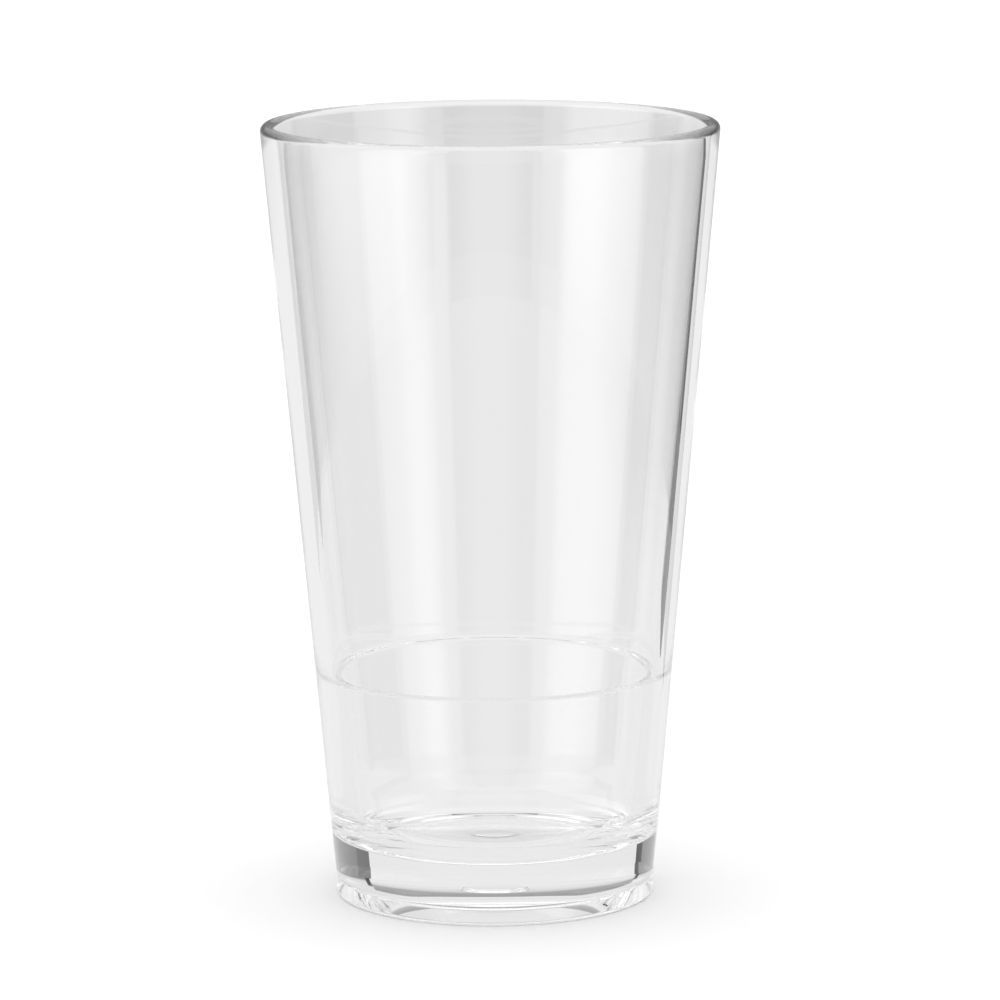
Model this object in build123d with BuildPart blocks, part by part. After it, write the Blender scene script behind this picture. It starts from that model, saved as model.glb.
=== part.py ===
from build123d import *
import os
from math import cos, radians, sin, tan

# Stackable mixing glass: one moulding of clear plastic, turned about the Z axis.
# Millimetres, +Z up. The origin is the centre of the foot, on the surface that the glass stands on.

# Overall size
HEIGHT = 149.0
RIM_RADIUS = 43.6  # outside, at the widest point of the rounded lip

# Upper wall, which thickens slowly downwards
LIP_RADIUS = 1.35  # the lip is a full round
OUTER_TAPER = radians(5.1)  # from vertical
INNER_TAPER = radians(5.45)

# Stacking ledge inside, where the foot of the next glass rests
LEDGE_HEIGHT = 43.9
LEDGE_EDGE_RADIUS = 29.3
LEDGE_ROOT_ROUND = 0.7
LEDGE_EDGE_ROUND = 0.6

# Well below the ledge, with a floor that is highest on the axis and falls towards the wall
WELL_TAPER = radians(5.5)
WELL_CORNER_ROUND = 9.0
FLOOR_HEIGHT = 12.2  # of the nearly level crown
FLOOR_FALL = radians(10.4)
FLOOR_CROWN_RADIUS = 8.2
FLOOR_CROWN_ROUND = 88.0  # blends the crown into the falling part

# Foot
FOOT_RADIUS = 30.65
FOOT_CORNER_ROUND = 1.0
FOOT_BAND_HEIGHT = 3.6  # nearly upright band below the taper
FOOT_BAND_TAPER = radians(1.0)
FOOT_BAND_ROUND = 1.0

# Underside: a flat sole round a domed recess, with the moulding gate at its centre
SOLE_INNER_RADIUS = 27.0
SOLE_INNER_ROUND = 1.5
RECESS_RADIUS = 21.8
RECESS_DEPTH = 2.55
RECESS_ROUND = 8.0
RECESS_BREAK_RADIUS = 11.5  # where the dome eases into its flatter middle
RECESS_BREAK_DEPTH = 3.57
RECESS_BREAK_ROUND = 150.0
RECESS_CENTRE_DEPTH = 3.75
GATE_RADIUS = 4.1
GATE_DEPTH = 0.4
GATE_ROUND = 0.3
GATE_RIM_ROUND = 0.15

NODE_NAME = "tumbler_body"

# The lip's round runs into both faces of the wall without a corner.
lip_centre = Vector(RIM_RADIUS - LIP_RADIUS, HEIGHT - LIP_RADIUS)
lip_outside = lip_centre + Vector(cos(OUTER_TAPER), -sin(OUTER_TAPER)) * LIP_RADIUS
lip_inside = lip_centre + Vector(-cos(INNER_TAPER), sin(INNER_TAPER)) * LIP_RADIUS
lip_top = lip_centre + Vector(0, LIP_RADIUS)
ledge_root_radius = lip_inside.X - (lip_inside.Y - LEDGE_HEIGHT) * tan(INNER_TAPER)

# The well's corner is where the line of its wall meets the line of its falling floor.
fall = tan(FLOOR_FALL)
lean = tan(WELL_TAPER)
wall_at_floor = LEDGE_EDGE_RADIUS - (LEDGE_HEIGHT - FLOOR_HEIGHT) * lean
corner_drop = (wall_at_floor - FLOOR_CROWN_RADIUS) * fall / (1 + fall * lean)

foot_sole_radius = FOOT_RADIUS - FOOT_BAND_HEIGHT * tan(FOOT_BAND_TAPER)
gate_top = RECESS_CENTRE_DEPTH + GATE_DEPTH

underside_and_outside = {
    (0, gate_top): None,
    (GATE_RADIUS, gate_top): GATE_ROUND,
    (GATE_RADIUS, RECESS_CENTRE_DEPTH): GATE_RIM_ROUND,
    (RECESS_BREAK_RADIUS, RECESS_BREAK_DEPTH): RECESS_BREAK_ROUND,
    (RECESS_RADIUS, RECESS_DEPTH): RECESS_ROUND,
    (SOLE_INNER_RADIUS, 0): SOLE_INNER_ROUND,
    (foot_sole_radius, 0): FOOT_CORNER_ROUND,
    (FOOT_RADIUS, FOOT_BAND_HEIGHT): FOOT_BAND_ROUND,
    (lip_outside.X, lip_outside.Y): None,
}
inside = {
    (lip_inside.X, lip_inside.Y): None,
    (ledge_root_radius, LEDGE_HEIGHT): LEDGE_ROOT_ROUND,
    (LEDGE_EDGE_RADIUS, LEDGE_HEIGHT): LEDGE_EDGE_ROUND,
    (wall_at_floor - corner_drop * lean, FLOOR_HEIGHT - corner_drop): WELL_CORNER_ROUND,
    (FLOOR_CROWN_RADIUS, FLOOR_HEIGHT): FLOOR_CROWN_ROUND,
    (0, FLOOR_HEIGHT): None,
}


def rounded_path(corners):
    """A line through the corners, each corner with its own radius."""
    radii = [radius for radius in corners.values() if radius]
    return FilletPolyline(*corners, radius=radii)


with BuildPart() as tumbler_body:
    with BuildSketch(Plane.XZ):
        with BuildLine():
            rounded_path(underside_and_outside)
            ThreePointArc(lip_outside, lip_top, lip_inside)
            rounded_path(inside)
            Line((0, FLOOR_HEIGHT), (0, gate_top))
        make_face()
    revolve(axis=Axis.Z)

tumbler_body.part.label = NODE_NAME
os.makedirs("parts", exist_ok=True)
export_step(tumbler_body.part, f"parts/{NODE_NAME}.step")
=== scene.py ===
"""Clear plastic stacking mixing glass on a white sweep.

The CAD part is one solid of revolution. The piece made here stands for it with
the same outline, spun at a far finer step, so that what is seen through its
walls bends smoothly. The studio is white, with dark cards and gaps between its
panels: a clear object is drawn by what it bends into view, so they do the work.
Lengths of the glass are in millimetres until the mesh is made; the studio is in
metres, with +Y behind the glass as the camera sees it.
"""

import math

import bmesh
import bpy
from mathutils import Matrix, Vector


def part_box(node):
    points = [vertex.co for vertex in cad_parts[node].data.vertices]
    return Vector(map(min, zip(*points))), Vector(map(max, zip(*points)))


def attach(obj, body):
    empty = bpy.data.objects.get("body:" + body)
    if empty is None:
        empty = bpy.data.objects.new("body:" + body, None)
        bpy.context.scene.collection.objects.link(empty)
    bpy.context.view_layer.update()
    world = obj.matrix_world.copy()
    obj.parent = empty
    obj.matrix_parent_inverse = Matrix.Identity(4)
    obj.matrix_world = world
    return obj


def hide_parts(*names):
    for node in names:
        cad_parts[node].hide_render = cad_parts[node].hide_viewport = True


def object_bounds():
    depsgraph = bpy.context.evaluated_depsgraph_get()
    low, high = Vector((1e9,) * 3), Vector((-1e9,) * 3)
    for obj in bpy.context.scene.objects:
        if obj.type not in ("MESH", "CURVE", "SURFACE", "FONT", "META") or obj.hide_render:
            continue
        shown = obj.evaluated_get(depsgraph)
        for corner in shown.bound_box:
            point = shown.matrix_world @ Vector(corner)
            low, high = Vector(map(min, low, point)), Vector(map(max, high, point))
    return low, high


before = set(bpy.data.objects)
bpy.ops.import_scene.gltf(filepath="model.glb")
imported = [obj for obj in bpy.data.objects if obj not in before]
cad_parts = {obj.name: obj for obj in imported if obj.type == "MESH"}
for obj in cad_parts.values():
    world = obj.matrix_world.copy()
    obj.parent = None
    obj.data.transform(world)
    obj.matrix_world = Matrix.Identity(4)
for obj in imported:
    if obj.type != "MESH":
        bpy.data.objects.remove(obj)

NODE = "tumbler_body"
MM = 0.001

cad_low, cad_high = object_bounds()
node_low, node_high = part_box(NODE)
height = (node_high.z - node_low.z) / MM
rim_radius = (node_high.x - node_low.x) / 2 / MM

# ---------------------------------------------------------------- the outline
LIP_RADIUS = 1.35
OUTER_TAPER = math.radians(5.1)
INNER_TAPER = math.radians(5.45)
WELL_TAPER = math.radians(5.5)
LEDGE_HEIGHT = 43.9
LEDGE_EDGE_RADIUS = 29.3
LEDGE_ROOT_ROUND = 0.7
LEDGE_EDGE_ROUND = 0.6
FLOOR_HEIGHT = 12.2
FLOOR_FALL = math.radians(10.4)
FLOOR_CROWN_RADIUS = 8.2
FLOOR_CROWN_ROUND = 88.0
WELL_CORNER_ROUND = 9.0
FOOT_RADIUS = 30.65
FOOT_BAND_HEIGHT = 3.6
FOOT_BAND_TAPER = math.radians(1.0)
FOOT_BAND_ROUND = 1.0
FOOT_CORNER_ROUND = 1.0
SOLE_INNER_RADIUS = 27.0
SOLE_INNER_ROUND = 1.5
RECESS_RADIUS = 21.8
RECESS_DEPTH = 2.55
RECESS_ROUND = 8.0
RECESS_BREAK_RADIUS = 11.5
RECESS_BREAK_DEPTH = 3.57
RECESS_BREAK_ROUND = 150.0
RECESS_CENTRE_DEPTH = 3.75
GATE_RADIUS = 4.1
GATE_DEPTH = 0.4
GATE_ROUND = 0.3
GATE_RIM_ROUND = 0.15

SPIN_STEPS = 288
ARC_STEP = math.radians(4.0)
LONGEST_RUN = 4.0


def arc(centre, radius, start, turn):
    """Points along an arc of the outline, both ends included."""
    steps = max(3, math.ceil(abs(turn) / ARC_STEP))
    return [
        centre + radius * Vector((math.cos(start + turn * i / steps), math.sin(start + turn * i / steps)))
        for i in range(steps + 1)
    ]


def rounded(corners):
    """The path through (radius, height, round) corners, each one rounded off."""
    points = []
    for i, (x, z, radius) in enumerate(corners):
        here = Vector((x, z))
        if not radius:
            points.append(here)
            continue
        back = (Vector(corners[i - 1][:2]) - here).normalized()
        ahead = (Vector(corners[i + 1][:2]) - here).normalized()
        half = back.angle(ahead) / 2
        centre = here + (back + ahead).normalized() * radius / math.sin(half)
        start = here + back * radius / math.tan(half) - centre
        end = here + ahead * radius / math.tan(half) - centre
        turn = math.atan2(start.x * end.y - start.y * end.x, start.dot(end))
        points += arc(centre, radius, math.atan2(start.y, start.x), turn)
    return points


def outline():
    """The whole section, from the axis underneath round to the axis inside."""
    lip = Vector((rim_radius - LIP_RADIUS, height - LIP_RADIUS))
    lip_out = lip + LIP_RADIUS * Vector((math.cos(OUTER_TAPER), -math.sin(OUTER_TAPER)))
    lip_in = lip + LIP_RADIUS * Vector((-math.cos(INNER_TAPER), math.sin(INNER_TAPER)))
    bowl_radius = lip_in.x - (lip_in.y - LEDGE_HEIGHT) * math.tan(INNER_TAPER)

    fall, lean = math.tan(FLOOR_FALL), math.tan(WELL_TAPER)
    wall_at_floor = LEDGE_EDGE_RADIUS - (LEDGE_HEIGHT - FLOOR_HEIGHT) * lean
    corner_drop = (wall_at_floor - FLOOR_CROWN_RADIUS) * fall / (1 + fall * lean)
    well_corner = (wall_at_floor - corner_drop * lean, FLOOR_HEIGHT - corner_drop)

    underside_and_outside = [
        (0, RECESS_CENTRE_DEPTH + GATE_DEPTH, 0),
        (GATE_RADIUS, RECESS_CENTRE_DEPTH + GATE_DEPTH, GATE_ROUND),
        (GATE_RADIUS, RECESS_CENTRE_DEPTH, GATE_RIM_ROUND),
        (RECESS_BREAK_RADIUS, RECESS_BREAK_DEPTH, RECESS_BREAK_ROUND),
        (RECESS_RADIUS, RECESS_DEPTH, RECESS_ROUND),
        (SOLE_INNER_RADIUS, 0, SOLE_INNER_ROUND),
        (FOOT_RADIUS - FOOT_BAND_HEIGHT * math.tan(FOOT_BAND_TAPER), 0, FOOT_CORNER_ROUND),
        (FOOT_RADIUS, FOOT_BAND_HEIGHT, FOOT_BAND_ROUND),
        (*lip_out, 0),
    ]
    inside = [
        (*lip_in, 0),
        (bowl_radius, LEDGE_HEIGHT, LEDGE_ROOT_ROUND),
        (LEDGE_EDGE_RADIUS, LEDGE_HEIGHT, LEDGE_EDGE_ROUND),
        (*well_corner, WELL_CORNER_ROUND),
        (FLOOR_CROWN_RADIUS, FLOOR_HEIGHT, FLOOR_CROWN_ROUND),
        (0, FLOOR_HEIGHT, 0),
    ]
    over_the_lip = arc(lip, LIP_RADIUS, -OUTER_TAPER, math.pi + OUTER_TAPER - INNER_TAPER)
    return rounded(underside_and_outside) + over_the_lip[1:-1] + rounded(inside)


def spun(name, path):
    """A closed mesh of revolution about Z, in metres, with long runs divided."""
    fine = [path[0]]
    for a, b in zip(path, path[1:]):
        steps = max(1, math.ceil((b - a).length / LONGEST_RUN))
        fine += [a.lerp(b, i / steps) for i in range(1, steps + 1)]
    form = bmesh.new()
    rings = []
    for x, z in fine:
        on_axis = x < MM
        turns = [0] if on_axis else [math.tau * i / SPIN_STEPS for i in range(SPIN_STEPS)]
        rings.append([form.verts.new((x * MM * math.cos(t), x * MM * math.sin(t), z * MM)) for t in turns])
    for low, high in zip(rings, rings[1:]):
        for i in range(SPIN_STEPS):
            j = (i + 1) % SPIN_STEPS
            corners = [low[i % len(low)], low[j % len(low)], high[j % len(high)], high[i % len(high)]]
            form.faces.new(dict.fromkeys(corners))
    bmesh.ops.recalc_face_normals(form, faces=form.faces)
    mesh = bpy.data.meshes.new(name)
    form.to_mesh(mesh)
    form.free()
    mesh.shade_smooth()
    piece = bpy.data.objects.new(name, mesh)
    bpy.context.scene.collection.objects.link(piece)
    return piece


# ------------------------------------------------------------------ materials
PLASTIC_IOR = 1.56
PLASTIC_ABSORPTION = 0.6  # per metre
HAZE_SCALE = 45
HAZE_SPREAD = (0.45, 0.75)
HAZE_ROUGHNESS = 0.012
SCRATCH_SCALE = 900
SCRATCH_STRETCH = (1, 1, 0.12)
SCRATCH_SPREAD = (0.5, 0.72)
SCRATCH_ROUGHNESS = 0.25
SOLE_WEAR_HEIGHT = 0.5
RIM_WEAR_DEPTH = 0.3
FLOW_SCALE = 38
FLOW_STRETCH = (1, 1, 0.35)
FLOW_DEPTH = 0.02
FLOOR_ALBEDO = 0.97
FLOOR_ROUGHNESS = 0.8


def node_math(tree, operation, a, b):
    """A math node on two numbers or outputs; gives its output."""
    node = tree.nodes.new("ShaderNodeMath")
    node.operation = operation
    for socket, value in zip(node.inputs, (a, b)):
        if isinstance(value, (int, float)):
            socket.default_value = value
        else:
            tree.links.new(value, socket)
    return node.outputs[0]


def noise(tree, places, scale, detail, squash=(1, 1, 1)):
    """A noise pattern; a small third number of squash draws it out along the axis."""
    stretch = tree.nodes.new("ShaderNodeMapping")
    stretch.inputs["Scale"].default_value = squash
    texture = tree.nodes.new("ShaderNodeTexNoise")
    texture.inputs["Scale"].default_value = scale
    texture.inputs["Detail"].default_value = detail
    tree.links.new(places, stretch.inputs["Vector"])
    tree.links.new(stretch.outputs[0], texture.inputs["Vector"])
    return texture.outputs["Fac"]


def spread(tree, value, low, high):
    """Zero at low, one at high, and held between them."""
    node = tree.nodes.new("ShaderNodeMapRange")
    tree.links.new(value, node.inputs["Value"])
    node.inputs["From Min"].default_value = low
    node.inputs["From Max"].default_value = high
    return node.outputs["Result"]


def clear_plastic():
    """Polished clear plastic: faint flow marks and haze, fine scratches on the sole and the lip."""
    material = bpy.data.materials.new("clear_plastic")
    material.use_nodes = True
    tree = material.node_tree
    shader = tree.nodes["Principled BSDF"]
    shader.inputs["Base Color"].default_value = (1, 1, 1, 1)
    shader.inputs["IOR"].default_value = PLASTIC_IOR
    shader.inputs["Transmission Weight"].default_value = 1
    places = tree.nodes.new("ShaderNodeTexCoord").outputs["Object"]
    split = tree.nodes.new("ShaderNodeSeparateXYZ")
    tree.links.new(places, split.inputs[0])

    at_sole = spread(tree, split.outputs["Z"], SOLE_WEAR_HEIGHT * MM, 0)
    at_rim = spread(tree, split.outputs["Z"], (height - RIM_WEAR_DEPTH) * MM, height * MM)
    scratches = noise(tree, places, SCRATCH_SCALE, detail=6, squash=SCRATCH_STRETCH)
    scratched = node_math(tree, "MULTIPLY", spread(tree, scratches, *SCRATCH_SPREAD), SCRATCH_ROUGHNESS)
    worn = node_math(tree, "MULTIPLY", node_math(tree, "MAXIMUM", at_sole, at_rim), scratched)
    clouds = spread(tree, noise(tree, places, HAZE_SCALE, detail=3), *HAZE_SPREAD)
    haze = node_math(tree, "MULTIPLY", clouds, HAZE_ROUGHNESS)
    tree.links.new(node_math(tree, "ADD", haze, worn), shader.inputs["Roughness"])

    flow = noise(tree, places, FLOW_SCALE, detail=2, squash=FLOW_STRETCH)
    bump = tree.nodes.new("ShaderNodeBump")
    bump.inputs["Strength"].default_value = 1
    bump.inputs["Distance"].default_value = FLOW_DEPTH * MM
    tree.links.new(flow, bump.inputs["Height"])
    tree.links.new(bump.outputs[0], shader.inputs["Normal"])

    depth = tree.nodes.new("ShaderNodeVolumeAbsorption")
    depth.inputs["Color"].default_value = (0, 0, 0, 1)
    depth.inputs["Density"].default_value = PLASTIC_ABSORPTION
    tree.links.new(depth.outputs[0], tree.nodes["Material Output"].inputs["Volume"])
    return material


def matt_white():
    material = bpy.data.materials.new("floor_white")
    material.use_nodes = True
    shader = material.node_tree.nodes["Principled BSDF"]
    shader.inputs["Base Color"].default_value = (FLOOR_ALBEDO, FLOOR_ALBEDO, FLOOR_ALBEDO, 1)
    shader.inputs["Roughness"].default_value = FLOOR_ROUGHNESS
    shader.inputs["Specular IOR Level"].default_value = 0
    return material


def ramp_across(tree, axis, half, stops):
    """A smooth ramp of brightness over a panel's own X (0) or Y (1)."""
    places = tree.nodes.new("ShaderNodeTexCoord")
    split = tree.nodes.new("ShaderNodeSeparateXYZ")
    share = tree.nodes.new("ShaderNodeMapRange")
    ramp = tree.nodes.new("ShaderNodeValToRGB")
    tree.links.new(places.outputs["Object"], split.inputs[0])
    tree.links.new(split.outputs[axis], share.inputs["Value"])
    tree.links.new(share.outputs["Result"], ramp.inputs["Fac"])
    share.inputs["From Min"].default_value = -half
    share.inputs["From Max"].default_value = half
    ramp.color_ramp.interpolation = "EASE"
    stones = ramp.color_ramp.elements
    while len(stones) < len(stops):
        stones.new(0.5)
    for stone, (place, level) in zip(stones, stops):
        stone.position = place
        stone.color = (level, level, level, 1)
    return ramp.outputs["Color"]


def plain_when_seen_through(tree, level, last_step=0):
    """What is seen straight through both walls is even; bent and mirrored views find the panels.

    The room counts the step that leaves the glass as one more, so it passes a last_step of 1.
    """
    path = tree.nodes.new("ShaderNodeLightPath")
    turned_back = node_math(tree, "SUBTRACT", path.outputs["Ray Depth"], path.outputs["Transmission Depth"])
    straight = node_math(tree, "LESS_THAN", turned_back, last_step + 0.5)
    both_walls = node_math(tree, "GREATER_THAN", path.outputs["Transmission Depth"], 3.5)
    through = node_math(tree, "MULTIPLY", straight, both_walls)
    change = node_math(tree, "MULTIPLY", through, node_math(tree, "SUBTRACT", SEEN_THROUGH_GLOW, level))
    return node_math(tree, "ADD", level, change)


def glow(name, strength, axis=0, half=1, stops=None, fade=None):
    """Light of one strength, shaded by a ramp along one axis and a second, fade, along the other."""
    material = bpy.data.materials.new(name)
    material.use_nodes = True
    tree = material.node_tree
    tree.nodes.clear()
    emission = tree.nodes.new("ShaderNodeEmission")
    out = tree.nodes.new("ShaderNodeOutputMaterial")
    tree.links.new(emission.outputs[0], out.inputs["Surface"])
    level = strength
    if stops:
        level = node_math(tree, "MULTIPLY", ramp_across(tree, axis, half, stops), strength)
    if fade:
        level = node_math(tree, "MULTIPLY", level, ramp_across(tree, 1 - axis, *fade))
    tree.links.new(plain_when_seen_through(tree, level), emission.inputs["Strength"])
    return material


# --------------------------------------------------------------------- studio
def flat_mesh(name, corners):
    mesh = bpy.data.meshes.new(name)
    mesh.from_pydata(corners, [], [tuple(range(len(corners)))])
    stand = bpy.data.objects.new(name, mesh)
    bpy.context.scene.collection.objects.link(stand)
    return stand


def panel(name, centre, facing, width, tall, strength, **ramp):
    """A glowing panel that lights only what the glass bends or mirrors."""
    w, h = width / 2, tall / 2
    card = flat_mesh(name, [(-w, -h, 0), (w, -h, 0), (w, h, 0), (-w, h, 0)])
    hide_from_camera_and_floor(card)
    card.data.materials.append(glow(name, strength, **ramp))
    ahead = (Vector(facing) - Vector(centre)).normalized()
    up = Vector((0, 0, 1)) if abs(ahead.z) < 0.99 else Vector((0, 1, 0))
    across = up.cross(ahead).normalized()
    turn = Matrix((across, ahead.cross(across), ahead)).transposed().to_4x4()
    card.matrix_world = Matrix.Translation(centre) @ turn


def hide_from_camera_and_floor(card):
    card.visible_camera = False
    card.visible_diffuse = False
    card.visible_shadow = False


def on_circle(azimuth, radius, z):
    """A place round the glass: azimuth 0 is straight behind it, 90 to its right."""
    turn = math.radians(azimuth)
    return (radius * math.sin(turn), radius * math.cos(turn), z)


SEEN_THROUGH_GLOW = 0.85
BACKDROP_DISTANCE = 0.36
BACKDROP_RIGHT = 0.286
BACKDROP_LEFT = -0.423
BACKDROP_LOW, BACKDROP_HIGH = -0.6, 0.2
# Height and level
BACKDROP_SHADE = ((-0.6, 1), (0.05, 1), (0.09, 0.94), (0.11, 0.82), (0.14, 0.42), (0.2, 0.3))
BACKDROP_GLOW = 0.868
# Dark cards beside the backdrop: name, side, width, lowest, highest, glow
FLAGS = (
    ("flag_left_low", -1, 0.1, -0.075, -0.012, 0),
    ("flag_left_high", -1, 0.06, -0.012, 0.16, 0),
    ("flag_right_low", 1, 0.1, -0.075, -0.012, 0.14),
    ("flag_right_high", 1, 0.03, -0.012, 0.16, 0),
)
SWEEP_RADIUS = 0.74
SWEEP_HEIGHT = -0.105
SWEEP_SIDES = 96
SWEEP_GLOW = 0.82
SWEEP_SHADE = ((0, 1), (0.86, 1), (1, 0.5))
FLOOR_HALF = 10
SOFTBOX_GLOW = 1.9
SOFTBOX_DISTANCE = 0.9
SOFTBOX_CENTRE = 0.2
SOFTBOX_TALL = 1.8
# Height and level
SOFTBOX_FADE = ((-0.7, 0.55), (-0.18, 0.55), (-0.03, 1), (1.1, 1))
# Name, azimuth, width, and the shade across it as share of the width and level
SOFTBOXES = (
    ("softbox_right", 127, 0.92,
     ((0, 0.5), (0.3, 0.64), (0.51, 0.97), (0.62, 1), (0.72, 0.85), (0.83, 0.5), (1, 0.4))),
    ("softbox_left", -115, 1.28,
     ((0, 0.4), (0.15, 0.5), (0.3, 1), (0.55, 1), (0.74, 0.92), (0.87, 0.75), (1, 0.5))),
)
FRONT_WIDTH = 0.7
FRONT_GLOW = 0.55
FRONT_SHADE = ((0, 0.4), (0.35, 1), (0.65, 1), (1, 0.4))
CEILING_HEIGHT = 1.0
CEILING_SIDE = 1.6
CEILING_GLOW = 1.2
ROOM_GLOW = 0.75
HORIZON_GLOW = 0.22
HORIZON_STOPS = (-18, -12, 4, 14)  # degrees above the level
WHITE = 1.2


def backdrop_and_flags():
    middle = (BACKDROP_RIGHT + BACKDROP_LEFT) / 2
    width = BACKDROP_RIGHT - BACKDROP_LEFT
    z, tall = (BACKDROP_LOW + BACKDROP_HIGH) / 2, BACKDROP_HIGH - BACKDROP_LOW
    shade = [((place - BACKDROP_LOW) / tall, level) for place, level in BACKDROP_SHADE]
    panel("backdrop", (middle, BACKDROP_DISTANCE, z), (middle, 0, z), width, tall, BACKDROP_GLOW,
          axis=1, half=tall / 2, stops=shade)
    for name, side, wide, low, high, level in FLAGS:
        x = BACKDROP_LEFT - wide / 2 if side < 0 else BACKDROP_RIGHT + wide / 2
        z = (low + high) / 2
        panel(name, (x, BACKDROP_DISTANCE, z), (x, 0, z), wide, high - low, level)


def softboxes():
    z = SOFTBOX_CENTRE
    fade = (SOFTBOX_TALL / 2, [((at - z) / SOFTBOX_TALL + 0.5, level) for at, level in SOFTBOX_FADE])
    for name, azimuth, wide, shade in SOFTBOXES:
        panel(name, on_circle(azimuth, SOFTBOX_DISTANCE, z), (0, 0, z), wide, SOFTBOX_TALL, SOFTBOX_GLOW,
              half=wide / 2, stops=shade, fade=fade)
    panel("front_card", (0, -SOFTBOX_DISTANCE, z), (0, 0, z), FRONT_WIDTH, SOFTBOX_TALL, FRONT_GLOW,
          half=FRONT_WIDTH / 2, stops=FRONT_SHADE)
    panel("ceiling", (0, 0, CEILING_HEIGHT), (0, 0, 0), CEILING_SIDE, CEILING_SIDE, CEILING_GLOW)


def sweep_and_floor():
    """The sweep is the white surface the walls bend into view, below the glass."""
    turns = [math.tau * i / SWEEP_SIDES for i in range(SWEEP_SIDES)]
    ring = [(SWEEP_RADIUS * math.cos(turn), SWEEP_RADIUS * math.sin(turn), SWEEP_HEIGHT) for turn in turns]
    sweep = flat_mesh("sweep", ring)
    hide_from_camera_and_floor(sweep)
    sweep.data.materials.append(glow("sweep", SWEEP_GLOW, half=SWEEP_RADIUS, stops=SWEEP_SHADE))
    sides = ((-1, -1), (1, -1), (1, 1), (-1, 1))
    floor = flat_mesh("floor", [(x * FLOOR_HALF, y * FLOOR_HALF, cad_low.z) for x, y in sides])
    floor.data.materials.append(matt_white())
    floor.visible_transmission = False
    floor.visible_glossy = False


def room():
    """White for the eye and the floor; for the glass, light with a dark band at its level."""
    world = bpy.data.worlds.new("room")
    bpy.context.scene.world = world
    world.use_nodes = True
    tree = world.node_tree
    tree.nodes.clear()
    add = tree.nodes.new
    path, places, split = add("ShaderNodeLightPath"), add("ShaderNodeTexCoord"), add("ShaderNodeSeparateXYZ")
    dim, white = add("ShaderNodeBackground"), add("ShaderNodeBackground")
    either, out = add("ShaderNodeMixShader"), add("ShaderNodeOutputWorld")
    tree.links.new(places.outputs["Generated"], split.inputs[0])
    below_out, below_in, above_in, above_out = (math.sin(math.radians(a)) for a in HORIZON_STOPS)
    levels = []
    for outer, inner in ((below_out, below_in), (above_out, above_in)):
        share = add("ShaderNodeMapRange")
        share.interpolation_type = "SMOOTHSTEP"
        tree.links.new(split.outputs["Z"], share.inputs["Value"])
        for socket, value in zip(share.inputs[1:5], (outer, inner, ROOM_GLOW, HORIZON_GLOW)):
            socket.default_value = value
        levels.append(share.outputs["Result"])
    level = plain_when_seen_through(tree, node_math(tree, "MAXIMUM", *levels), last_step=1)
    tree.links.new(level, dim.inputs["Strength"])
    dim.inputs["Color"].default_value = white.inputs["Color"].default_value = (1, 1, 1, 1)
    white.inputs["Strength"].default_value = WHITE
    bounced = node_math(tree, "GREATER_THAN", path.outputs["Diffuse Depth"], 0.5)
    seen = node_math(tree, "MAXIMUM", path.outputs["Is Camera Ray"], bounced)
    tree.links.new(seen, either.inputs["Fac"])
    tree.links.new(dim.outputs[0], either.inputs[1])
    tree.links.new(white.outputs[0], either.inputs[2])
    tree.links.new(either.outputs[0], out.inputs["Surface"])


# --------------------------------------------------------------------- camera
# Distance and height are in heights of the glass
CAMERA_BACK = 7.438
CAMERA_UP = 1.7795
CAMERA_PITCH, CAMERA_YAW, CAMERA_ROLL = (math.radians(a) for a in (-9.666, 0.073, -0.37))
CAMERA_LENS, SENSOR_WIDTH = 211.46, 36


def camera():
    data = bpy.data.cameras.new("camera")
    data.sensor_width = SENSOR_WIDTH
    data.lens = CAMERA_LENS
    data.clip_start, data.clip_end = 0.01, 50
    eye = bpy.data.objects.new("camera", data)
    bpy.context.scene.collection.objects.link(eye)
    tall = cad_high.z - cad_low.z
    level = math.cos(CAMERA_PITCH)
    ahead = Vector((math.sin(CAMERA_YAW) * level, math.cos(CAMERA_YAW) * level, math.sin(CAMERA_PITCH)))
    turn = ahead.to_track_quat("-Z", "Y").to_matrix() @ Matrix.Rotation(CAMERA_ROLL, 3, "Z")
    eye.matrix_world = Matrix.Translation((0, -CAMERA_BACK * tall, CAMERA_UP * tall)) @ turn.to_4x4()
    bpy.context.scene.camera = eye


camera()
glass = spun("mixing_glass", outline())
glass.data.materials.append(clear_plastic())
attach(glass, "root")
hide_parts(NODE)
backdrop_and_flags()
softboxes()
sweep_and_floor()
room()

# The wall carries light from the lip to the foot in many small mirrorings.
BOUNCES = 256
scene = bpy.context.scene
scene.view_settings.view_transform = "Standard"
scene.cycles.max_bounces = BOUNCES
scene.cycles.transmission_bounces = BOUNCES
scene.cycles.glossy_bounces = BOUNCES
